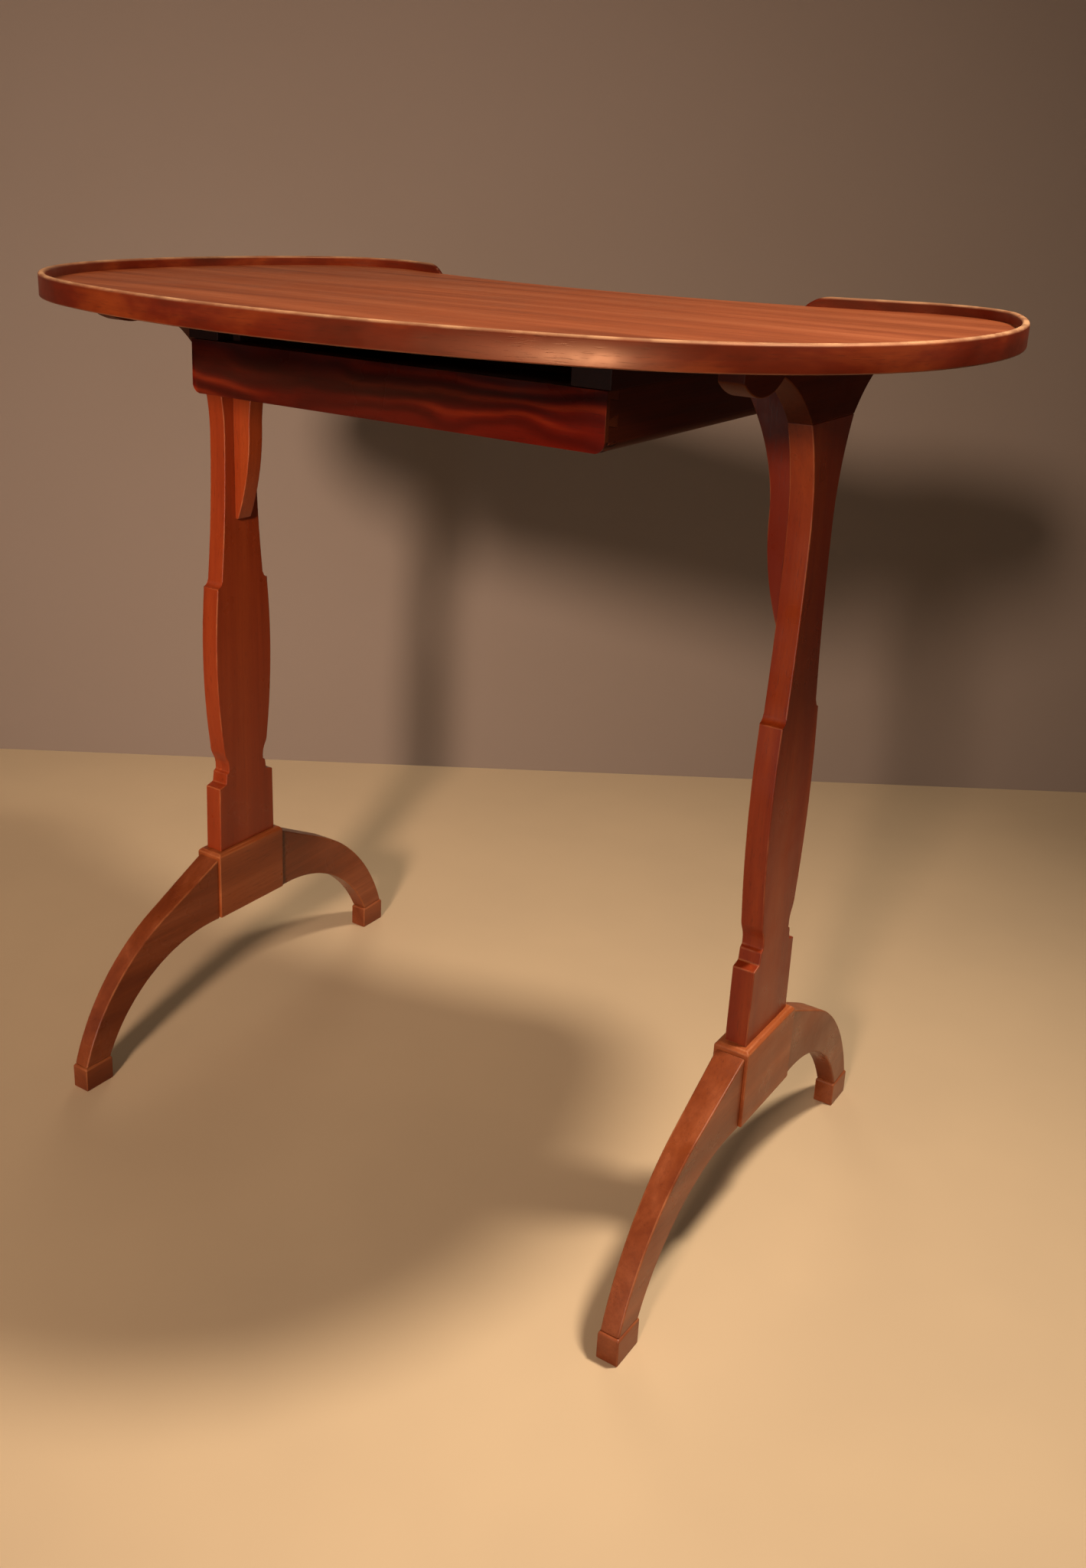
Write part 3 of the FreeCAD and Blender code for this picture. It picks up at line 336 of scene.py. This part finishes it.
def plain_backdrop(name, paint, bounced, seen_through=False):
    """Matt paint with faint clouds 300 mm across, darker to the light that it throws back.

    It can be made clear from behind and to the lamps behind it.
    """
    material, tree = new_material(name)
    coords = add(tree, "ShaderNodeTexCoord", out="Object")
    clouds = stretched_noise(tree, coords, "", 300, 300, 3, fade=(0.35, 0.65, 0.0, 0.10))
    shown = layered(tree, (*paint, 1.0), (clouds, linear(PAINT_CLOUDS)))
    body = layered(tree, linear(bounced), (seen_rays(tree), shown))
    surface = add(tree, "ShaderNodeBsdfPrincipled", {"Base Color": body, "Roughness": 0.85,
                                                     "Specular IOR Level": 0.2}, "BSDF")
    if seen_through:
        clear = add(tree, "ShaderNodeBsdfTransparent", out="BSDF")
        behind = add(tree, "ShaderNodeNewGeometry", out="Backfacing")
        shadow = add(tree, "ShaderNodeLightPath", out="Is Shadow Ray")
        open_to = add(tree, "ShaderNodeMath", {0: behind, 1: shadow}, 0, operation="MAXIMUM")
        surface = add(tree, "ShaderNodeMixShader", {0: open_to, 1: surface, 2: clear}, "Shader")
    add(tree, "ShaderNodeOutputMaterial", {"Surface": surface})
    return material


# Mesh helpers

def welded(node):
    """A CAD node's mesh with its repeated corners joined."""
    shape = bmesh.new()
    shape.from_mesh(NODES[node].data)
    bmesh.ops.remove_doubles(shape, verts=shape.verts, dist=WELD_DISTANCE)
    return shape


def worn_copy(node, radius, material, crest=0.0):
    """A closed copy of a CAD node with rounded arrises; the rounding and the crest are marked for wear, the
    crest also for a painted highlight.
    """
    shape = welded(node)
    bmesh.ops.dissolve_limit(shape, angle_limit=FLAT_WITHIN, verts=shape.verts, edges=shape.edges)
    wear = shape.loops.layers.float.new("wear")
    arrises = [edge for edge in shape.edges if edge.is_manifold
               and edge.calc_face_angle() > ARRIS_ANGLE and edge.calc_length() > SHORTEST_ARRIS]
    rounded = bmesh.ops.bevel(shape, geom=arrises, offset=radius, offset_type="OFFSET", segments=2,
                              profile=0.5, affect="EDGES", clamp_overlap=False)
    for face in rounded["faces"]:
        for loop in face.loops:
            loop[wear] = SPARED_WEAR if crest else FULL_WEAR
    if crest > 0:
        top = max(vert.co.z for vert in shape.verts)
        for face in shape.faces:
            for loop in face.loops:
                loop[wear] = max(loop[wear], min(1.0, (loop.vert.co.z - top) / crest + 1))
    mesh = bpy.data.meshes.new(node + "_worn")
    shape.to_mesh(mesh)
    shape.free()
    mesh.materials.append(material)
    mesh.polygons.foreach_set("material_index", [0] * len(mesh.polygons))
    mesh.polygons.foreach_set("use_smooth", [True] * len(mesh.polygons))
    mesh.set_sharp_from_angle(angle=SHARP_ANGLE)
    piece = bpy.data.objects.new(node + "_worn", mesh)
    bpy.context.scene.collection.objects.link(piece)
    weighted = piece.modifiers.new("flat faces stay flat", "WEIGHTED_NORMAL")
    weighted.keep_sharp = True
    return piece


def settle(piece, body, slot, *nodes):
    """Let a finished piece ride on its body in place of its CAD nodes."""
    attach(piece, body)
    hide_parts(*nodes)


def dress(nodes, radius, material, body="table", crest=0.0):
    """Worn copies of like nodes, all in one finish."""
    for node in nodes:
        settle(worn_copy(node, radius, material, crest), body, SLOTS[node], node)


def both(stem):
    """The names of a left and a right node."""
    return [f"{stem}_left", f"{stem}_right"]


def each_foot(stem):
    """The names of the four nodes at the ends of the feet."""
    return [f"{stem}_{side}_{end}" for side in ("left", "right") for end in ("front", "rear")]


# Geometry Nodes for the fixings

def group_inputs(tree, sizes):
    """Give a node tree its geometry sockets and one named length for each size."""
    for direction in ("INPUT", "OUTPUT"):
        tree.interface.new_socket("Geometry", in_out=direction, socket_type="NodeSocketGeometry")
    for name, value in sizes.items():
        socket = tree.interface.new_socket(name, in_out="INPUT", socket_type="NodeSocketFloat")
        socket.subtype = "DISTANCE"
        socket.default_value = value
    return tree.nodes.new("NodeGroupInput").outputs


def set_inputs(modifier, sizes):
    """Set a modifier's inputs by the identifiers of its tree's sockets."""
    for item in modifier.node_group.interface.items_tree:
        if item.item_type == "SOCKET" and item.in_out == "INPUT" and item.name in sizes:
            modifier[item.identifier] = sizes[item.name]


def screw_tree():
    """A slotted wood screw, head down: a countersunk head, a shank and a cut thread."""
    tree = bpy.data.node_groups.new("slotted wood screws", "GeometryNodeTree")
    size = group_inputs(tree, SCREW)
    cone = add(tree, "GeometryNodeMeshCone", {"Vertices": 24, "Radius Top": size["Shank Radius"],
                                              "Radius Bottom": size["Head Radius"],
                                              "Depth": size["Head Height"]}, "Mesh")
    cutter_size = add(tree, "ShaderNodeCombineXYZ", {"X": size["Cutter Length"], "Y": size["Slot Width"],
                                                     "Z": size["Cutter Height"]}, 0)
    cutter = add(tree, "GeometryNodeMeshCube", {"Size": cutter_size}, "Mesh")
    head = add(tree, "GeometryNodeMeshBoolean", {"Mesh 1": cone, "Mesh 2": cutter}, "Mesh",
               operation="DIFFERENCE")
    core = add(tree, "ShaderNodeMath", {0: size["Shank Radius"], 1: CORE_SHARE}, 0, operation="MULTIPLY")
    rod = add(tree, "GeometryNodeMeshCylinder", {"Vertices": 16, "Radius": core, "Depth": size["Length"]},
              "Mesh")
    half_length = add(tree, "ShaderNodeMath", {0: size["Length"], 1: 0.5}, 0, operation="MULTIPLY")
    rod_lift = add(tree, "ShaderNodeCombineXYZ", {"Z": half_length}, 0)
    shank = add(tree, "GeometryNodeTransform", {"Geometry": rod, "Translation": rod_lift}, "Geometry")
    height = add(tree, "ShaderNodeMath", {0: size["Length"], 1: THREAD_SHARE}, 0, operation="MULTIPLY")
    start = add(tree, "ShaderNodeMath", {0: size["Length"], 1: THREAD_START}, 0, operation="MULTIPLY")
    turns = add(tree, "ShaderNodeMath", {0: height, 1: size["Thread Pitch"]}, 0, operation="DIVIDE")
    helix = add(tree, "GeometryNodeCurveSpiral", {"Resolution": 14, "Rotations": turns,
                                                  "Start Radius": core, "End Radius": core,
                                                  "Height": height}, "Curve")
    ridge = add(tree, "GeometryNodeCurvePrimitiveCircle", {"Resolution": 3, "Radius": size["Thread Radius"]},
                "Curve")
    wound = add(tree, "GeometryNodeCurveToMesh", {"Curve": helix, "Profile Curve": ridge,
                                                  "Fill Caps": True}, "Mesh")
    thread_lift = add(tree, "ShaderNodeCombineXYZ", {"Z": start}, 0)
    thread = add(tree, "GeometryNodeTransform", {"Geometry": wound, "Translation": thread_lift}, "Geometry")
    screw = add(tree, "GeometryNodeJoinGeometry", {"Geometry": [head, shank, thread]}, "Geometry")
    return tree, size["Geometry"], screw


def dowel_tree():
    """A fluted dowel: a star section drawn out to the dowel's length."""
    tree = bpy.data.node_groups.new("fluted dowels", "GeometryNodeTree")
    size = group_inputs(tree, DOWEL)
    inner = add(tree, "ShaderNodeMath", {0: size["Radius"], 1: size["Flute Depth"]}, 0, operation="SUBTRACT")
    star = add(tree, "GeometryNodeCurveStar", {"Points": 18, "Inner Radius": inner,
                                               "Outer Radius": size["Radius"]}, "Curve")
    section = add(tree, "GeometryNodeFillCurve", {"Curve": star}, "Mesh", mode="NGONS")
    drawn = add(tree, "GeometryNodeExtrudeMesh", {"Mesh": section, "Offset Scale": size["Length"],
                                                  "Individual": False}, "Mesh")
    foot = add(tree, "GeometryNodeFlipFaces", {"Mesh": section}, "Mesh")
    whole = add(tree, "GeometryNodeJoinGeometry", {"Geometry": [drawn, foot]}, "Geometry")
    dowel = add(tree, "GeometryNodeMergeByDistance", {"Geometry": whole, "Distance": 0.001 * MM}, "Geometry")
    return tree, size["Geometry"], dowel


def set_on_points(tree, spots, fixing, material):
    """End a tree with the fixing on every spot, turned, made real and given its finish."""
    points = add(tree, "GeometryNodeMeshToPoints", {"Mesh": spots}, "Points")
    turn = add(tree, "GeometryNodeInputNamedAttribute", {"Name": "turn"}, "Attribute", data_type="FLOAT")
    angle = add(tree, "ShaderNodeCombineXYZ", {"Z": turn}, 0)
    placed = add(tree, "GeometryNodeInstanceOnPoints", {"Points": points, "Instance": fixing,
                                                        "Rotation": angle}, "Instances")
    real = add(tree, "GeometryNodeRealizeInstances", {"Geometry": placed}, "Geometry")
    finished = add(tree, "GeometryNodeSetMaterial", {"Geometry": real, "Material": material}, "Geometry")
    add(tree, "NodeGroupOutput", {"Geometry": finished})


def islands(node):
    """The corners of the box round each separate solid of a CAD node."""
    shape = welded(node)
    left = set(shape.verts)
    boxes = []
    while left:
        queue = [left.pop()]
        found = []
        while queue:
            vert = queue.pop()
            found.append(vert.co.copy())
            for edge in vert.link_edges:
                other = edge.other_vert(vert)
                if other in left:
                    left.remove(other)
                    queue.append(other)
        low = Vector([min(point[i] for point in found) for i in range(3)])
        high = Vector([max(point[i] for point in found) for i in range(3)])
        boxes.append((low, high))
    shape.free()
    return sorted(boxes, key=lambda corners: tuple(corners[0]))


def grown(node, build, material, sizes):
    """A piece that a node tree grows on the foot of each solid of a CAD node."""
    boxes = islands(node)
    spots = bpy.data.meshes.new(node + "_spots")
    spots.from_pydata([((low.x + high.x) / 2, (low.y + high.y) / 2, low.z) for low, high in boxes], [], [])
    turn = spots.attributes.new("turn", "FLOAT", "POINT")
    for number, value in enumerate(turn.data):
        value.value = FIRST_TURN + TURN_BETWEEN * number
    piece = bpy.data.objects.new(node + "_grown", spots)
    bpy.context.scene.collection.objects.link(piece)
    tree, given, fixing = build()
    set_on_points(tree, given, fixing, material)
    modifier = piece.modifiers.new("grow", "NODES")
    modifier.node_group = tree
    set_inputs(modifier, dict(sizes, Length=max(high.z - low.z for low, high in boxes)))
    evaluated = piece.evaluated_get(bpy.context.evaluated_depsgraph_get())
    plain = bpy.data.meshes.new_from_object(evaluated)
    piece.modifiers.clear()
    piece.data = plain
    plain.polygons.foreach_set("use_smooth", [True] * len(plain.polygons))
    plain.set_sharp_from_angle(angle=SHARP_FIXING_ANGLE)
    settle(piece, "table", SLOTS[node], node)


# Settings that a user would change

class SideTableFinish(bpy.types.PropertyGroup):
    """How the wood looks and how far its arrises are worn"""
    frame_rounding: bpy.props.FloatProperty(
        name="Frame rounding", description="Radius of the worn arrises of the frame",
        default=0.9 * MM, min=0.1 * MM, max=2 * MM, precision=5, subtype="DISTANCE", unit="LENGTH")
    top_rounding: bpy.props.FloatProperty(
        name="Top rounding", description="Radius of the worn arrises of the top",
        default=0.6 * MM, min=0.1 * MM, max=2 * MM, precision=5, subtype="DISTANCE", unit="LENGTH")
    board_rounding: bpy.props.FloatProperty(
        name="Drawer rounding", description="Radius of the drawer's arrises",
        default=0.5 * MM, min=0.1 * MM, max=1 * MM, precision=5, subtype="DISTANCE", unit="LENGTH")
    polish: bpy.props.FloatProperty(
        name="Polish roughness", description="Roughness of the french polish",
        default=0.30, min=0.05, max=0.8, subtype="FACTOR")
    stain: bpy.props.FloatVectorProperty(
        name="Stain", description="Colour of the stain under the polish; white leaves the wood as it is",
        default=(1, 1, 1), min=0, max=1, subtype="COLOR")


class SideTableStage(bpy.types.PropertyGroup):
    """Camera, lights, floor and wall"""
    key_power: bpy.props.FloatProperty(
        name="Key light", description="Power of the soft light in front", default=9.8, min=0, unit="POWER")
    fill_power: bpy.props.FloatProperty(
        name="Overhead light", description="Power of the soft light above", default=8, min=0, unit="POWER")
    rear_power: bpy.props.FloatProperty(
        name="Rear light", description="Power of the faint light behind", default=9, min=0, unit="POWER")
    glint_power: bpy.props.FloatProperty(
        name="Edge glint", description="Power of the low lamp seen only in the gloss",
        default=5, min=0, unit="POWER")
    sky: bpy.props.FloatProperty(
        name="Sky", description="Strength of the even light all round", default=0.10, min=0)
    floor_paint: bpy.props.FloatVectorProperty(
        name="Floor", description="Colour of the floor", default=linear("#c8af8e")[:3], min=0, max=1,
        subtype="COLOR")
    wall_paint: bpy.props.FloatVectorProperty(
        name="Wall", description="Colour of the wall", default=linear("#94857a")[:3], min=0, max=1,
        subtype="COLOR")
    focal_length: bpy.props.FloatProperty(
        name="Focal length", description="Focal length of the camera", default=34.14, min=10, unit="CAMERA")


# Operators

class BuildTop(bpy.types.Operator):
    """Make the kidney-shaped top and its raised edge"""
    bl_idname = "side_table.top"
    bl_label = "Top and raised edge"

    def execute(self, context):
        finish = context.scene.side_table_finish
        top = polished_mahogany(finish, "french polished mahogany top", "X", TOP_TONES, dull=0.12)
        # Bent stock shows short grain, a bright rolled face and a crest rubbed almost bare, whose pale colour
        # is also a painted highlight
        edging = polished_mahogany(finish, "bent mahogany edging", "XY", EDGING_TONES, dull=0.08, reach=110,
                                   rub=0.7, bare=RUBBED_EDGING_AND_HIGHLIGHT_TONE, shine=0.9, tint="#ffb888",
                                   evenness=0.5, face=EDGING_FACE)
        dress(["table_top_board"], finish.top_rounding, top)
        dress(["raised_edge_band"], EDGING_ROUNDING * finish.top_rounding, edging, crest=EDGING_WEAR_AND_HIGHLIGHT_CREST)
        return {"FINISHED"}


class BuildColumns(bpy.types.Operator):
    """Make the two baluster columns and their corbels"""
    bl_idname = "side_table.columns"
    bl_label = "Columns and corbels"

    def execute(self, context):
        finish = context.scene.side_table_finish
        # The left column is painted lighter and browner and the right one darker and redder, as painted light
        # and painted shade for the stronger light on the left
        painted_light_column_wood = polished_mahogany(finish, "brown mahogany upright grain", "Z", LEFT_COLUMN_PAINTED_LIGHT_TONES)
        painted_shade_column_wood = polished_mahogany(finish, "red mahogany upright grain", "Z", RIGHT_COLUMN_PAINTED_SHADE_TONES)
        for side, wood in (("left", painted_light_column_wood), ("right", painted_shade_column_wood)):
            dress([f"column_{side}", f"corbel_{side}"], finish.frame_rounding, wood)
        return {"FINISHED"}


class BuildFeet(bpy.types.Operator):
    """Make the bearers, foot blocks, arched arms and pads"""
    bl_idname = "side_table.feet"
    bl_label = "Bearers and feet"

    def execute(self, context):
        finish = context.scene.side_table_finish
        lengthwise = polished_mahogany(finish, "polished mahogany level grain", "Y", ARM_TONES)
        # The blocks at the columns' feet are of a paler cut than the arms
        paler = polished_mahogany(finish, "pale mahogany level grain", "Y", BLOCK_TONES)
        # The bearers' wood is painted dark as painted shade under the top, and has a duller polish, less wear
        # and little shine
        painted_shade_wood = polished_mahogany(finish, "darkened mahogany under the top", "Y", BEARER_PAINTED_SHADE_TONES, dull=0.15,
                                   rub=0.15, shine=0.08)
        dress(both("bearer"), finish.frame_rounding, painted_shade_wood)
        dress(both("foot_block"), finish.frame_rounding, paler)
        dress(each_foot("foot_arm"), ARM_ROUNDING * finish.frame_rounding, lengthwise)
        dress(each_foot("foot_pad"), finish.frame_rounding, lengthwise)
        return {"FINISHED"}


class BuildDrawer(bpy.types.Operator):
    """Make the drawer with its veneered faces, and the rails that it hangs in"""
    bl_idname = "side_table.drawer"
    bl_label = "Drawer and rails"

    def execute(self, context):
        finish = context.scene.side_table_finish
        radius = finish.board_rounding
        flame = polished_mahogany(finish, "crotch mahogany veneer", "X", VENEER_TONES, shine=0.2,
                                  figure=flame_figure)
        deep = waxed_board("plain mahogany boards", "Y", DRAWER_TONES)
        wide = waxed_board("plain mahogany faces", "X", DRAWER_TONES)
        # The rails' colours, end grain too, are darkened as painted shade under the top
        rails = waxed_board("grooved mahogany rails", "Y", RAIL_PAINTED_SHADE_TONES)
        dress(["drawer_front_veneer", "drawer_back_veneer"], VENEER_ROUNDING * radius, flame, "drawer")
        dress(["drawer_front", "drawer_back", "drawer_bottom"], radius, wide, "drawer")
        dress(both("drawer_side") + both("hanger_strip"), radius, deep, "drawer")
        dress(both("drawer_rail"), radius, rails)
        return {"FINISHED"}


class BuildKnobs(bpy.types.Operator):
    """Make the two turned knobs"""
    bl_idname = "side_table.knobs"
    bl_label = "Knobs"

    def execute(self, context):
        finish = context.scene.side_table_finish
        # Turned work is polished on the lathe, so it is the glossiest
        turned = polished_mahogany(finish, "turned mahogany", "Y", KNOB_TONES, dull=-0.08)
        dress(both("drawer_knob"), KNOB_ROUNDING, turned, "drawer")
        return {"FINISHED"}


class BuildFixings(bpy.types.Operator):
    """Make the screws and dowels"""
    bl_idname = "side_table.fixings"
    bl_label = "Screws and dowels"

    def execute(self, context):
        steel = dulled_steel("dulled screw steel")
        beech = waxed_board("bare beech dowel", "Z", BEECH_TONES, gloss=0.65)
        for node in ("bearer_screws", "corbel_screws", "rail_screws"):
            grown(node, screw_tree, steel, SCREW)
        grown("pad_dowels", dowel_tree, beech, DOWEL)
        return {"FINISHED"}


def set_camera(scene, level, focal_length):
    """Stand the camera where the photograph was taken; level points to its right."""
    camera = bpy.data.objects.new("camera", bpy.data.cameras.new("camera"))
    scene.collection.objects.link(camera)
    camera.data.sensor_width = SENSOR_WIDTH
    camera.data.lens = focal_length
    camera.data.shift_x, camera.data.shift_y = CAMERA_SHIFT
    camera.data.clip_start = CLIP_START
    forward = Vector((-math.sin(CAMERA_HEADING) * math.cos(CAMERA_PITCH),
                      math.cos(CAMERA_HEADING) * math.cos(CAMERA_PITCH), -math.sin(CAMERA_PITCH)))
    above = level.cross(forward)
    right = math.cos(CAMERA_ROLL) * level + math.sin(CAMERA_ROLL) * above
    up = math.cos(CAMERA_ROLL) * above - math.sin(CAMERA_ROLL) * level
    turned = Matrix((right, up, -forward)).transposed().to_4x4()
    camera.matrix_world = Matrix.Translation(CAMERA_PLACE) @ turned
    scene.camera = camera


def hang_lamps(scene, stage):
    """Hang the round soft lamps, none of which the camera sees."""
    for name, power, place, aim, width, spread, tint, lights, glints in LAMPS:
        lamp = bpy.data.lights.new(name, "AREA")
        lamp.shape = "DISK"
        lamp.size = width
        lamp.spread = math.radians(spread)
        lamp.energy = getattr(stage, power)
        lamp.color = linear(tint)[:3]
        holder = bpy.data.objects.new(name, lamp)
        holder.visible_camera = False
        holder.visible_diffuse = lights
        holder.visible_glossy = glints
        holder.location = place
        holder.rotation_euler = (Vector(aim) - Vector(place)).to_track_quat("-Z", "Y").to_euler()
        scene.collection.objects.link(holder)


def fill_room(scene, strength):
    """Light the scene evenly from all round, and show a plain colour beyond the floor."""
    world = bpy.data.worlds.new("soft room")
    world.use_nodes = True
    tree = world.node_tree
    tree.nodes.clear()
    light = add(tree, "ShaderNodeBackground", {"Color": linear(SKY_LIGHT), "Strength": strength}, 0)
    shown = add(tree, "ShaderNodeBackground", {"Color": linear(SKY_SHOWN)}, 0)
    sky = add(tree, "ShaderNodeMixShader", {0: seen_rays(tree), 1: light, 2: shown}, "Shader")
    add(tree, "ShaderNodeOutputWorld", {"Surface": sky})
    scene.world = world


def lay_sheet(scene, name, corners, paint):
    """A flat painted sheet that belongs to the stage."""
    mesh = bpy.data.meshes.new(name)
    mesh.from_pydata(corners, [], [(0, 1, 2, 3)])
    mesh.materials.append(paint)
    sheet = bpy.data.objects.new(name, mesh)
    scene.collection.objects.link(sheet)


class BuildStage(bpy.types.Operator):
    """Make the camera, the lights, the floor and the wall"""
    bl_idname = "side_table.stage"
    bl_label = "Stage"

    def execute(self, context):
        scene = context.scene
        stage = scene.side_table_stage
        scene.view_settings.view_transform = "Standard"
        level = Vector((math.cos(CAMERA_HEADING), math.sin(CAMERA_HEADING), 0))
        set_camera(scene, level, stage.focal_length)
        hang_lamps(scene, stage)
        fill_room(scene, stage.sky)
        floor = [(x * FLOOR_REACH, y * FLOOR_REACH, 0) for x, y in ((-1, -1), (1, -1), (1, 1), (-1, 1))]
        lay_sheet(scene, "floor", floor, plain_backdrop("pale floor paint", stage.floor_paint, FLOOR_BOUNCE))
        # The wall stands square to the camera's heading
        ahead = Vector((-math.sin(CAMERA_HEADING), math.cos(CAMERA_HEADING), 0))
        middle = Vector((CAMERA_PLACE.x, CAMERA_PLACE.y, 0)) + WALL_DISTANCE * ahead
        wall = [middle + run * WALL_REACH * level + Vector((0, 0, rise * WALL_HEIGHT))
                for run, rise in ((-1, 0), (1, 0), (1, 1), (-1, 1))]
        lay_sheet(scene, "wall", wall,
                  plain_backdrop("grey wall paint", stage.wall_paint, WALL_BOUNCE, seen_through=True))
        return {"FINISHED"}


class SideTablePanel(bpy.types.Panel):
    """Lists the table's settings and its pieces in the order that they are made"""
    bl_idname = "VIEW3D_PT_side_table"
    bl_label = "Side Table"
    bl_space_type = "VIEW_3D"
    bl_region_type = "UI"
    bl_category = "Side Table"

    def draw(self, context):
        for group in (context.scene.side_table_finish, context.scene.side_table_stage):
            for name in group.__annotations__:
                self.layout.prop(group, name)
        for operator in OPERATORS:
            self.layout.operator(operator.bl_idname)


OPERATORS = (BuildTop, BuildColumns, BuildFeet, BuildDrawer, BuildKnobs, BuildFixings, BuildStage)
CLASSES = (SideTableFinish, SideTableStage, *OPERATORS, SideTablePanel)


def register():
    for item in CLASSES:
        bpy.utils.register_class(item)
    bpy.types.Scene.side_table_finish = bpy.props.PointerProperty(type=SideTableFinish)
    bpy.types.Scene.side_table_stage = bpy.props.PointerProperty(type=SideTableStage)


def unregister():
    del bpy.types.Scene.side_table_finish
    del bpy.types.Scene.side_table_stage
    for item in reversed(CLASSES):
        bpy.utils.unregister_class(item)


def main():
    register()
    for operator in OPERATORS:
        group, name = operator.bl_idname.split(".")
        getattr(getattr(bpy.ops, group), name)()


if __name__ == "__main__":
    main()
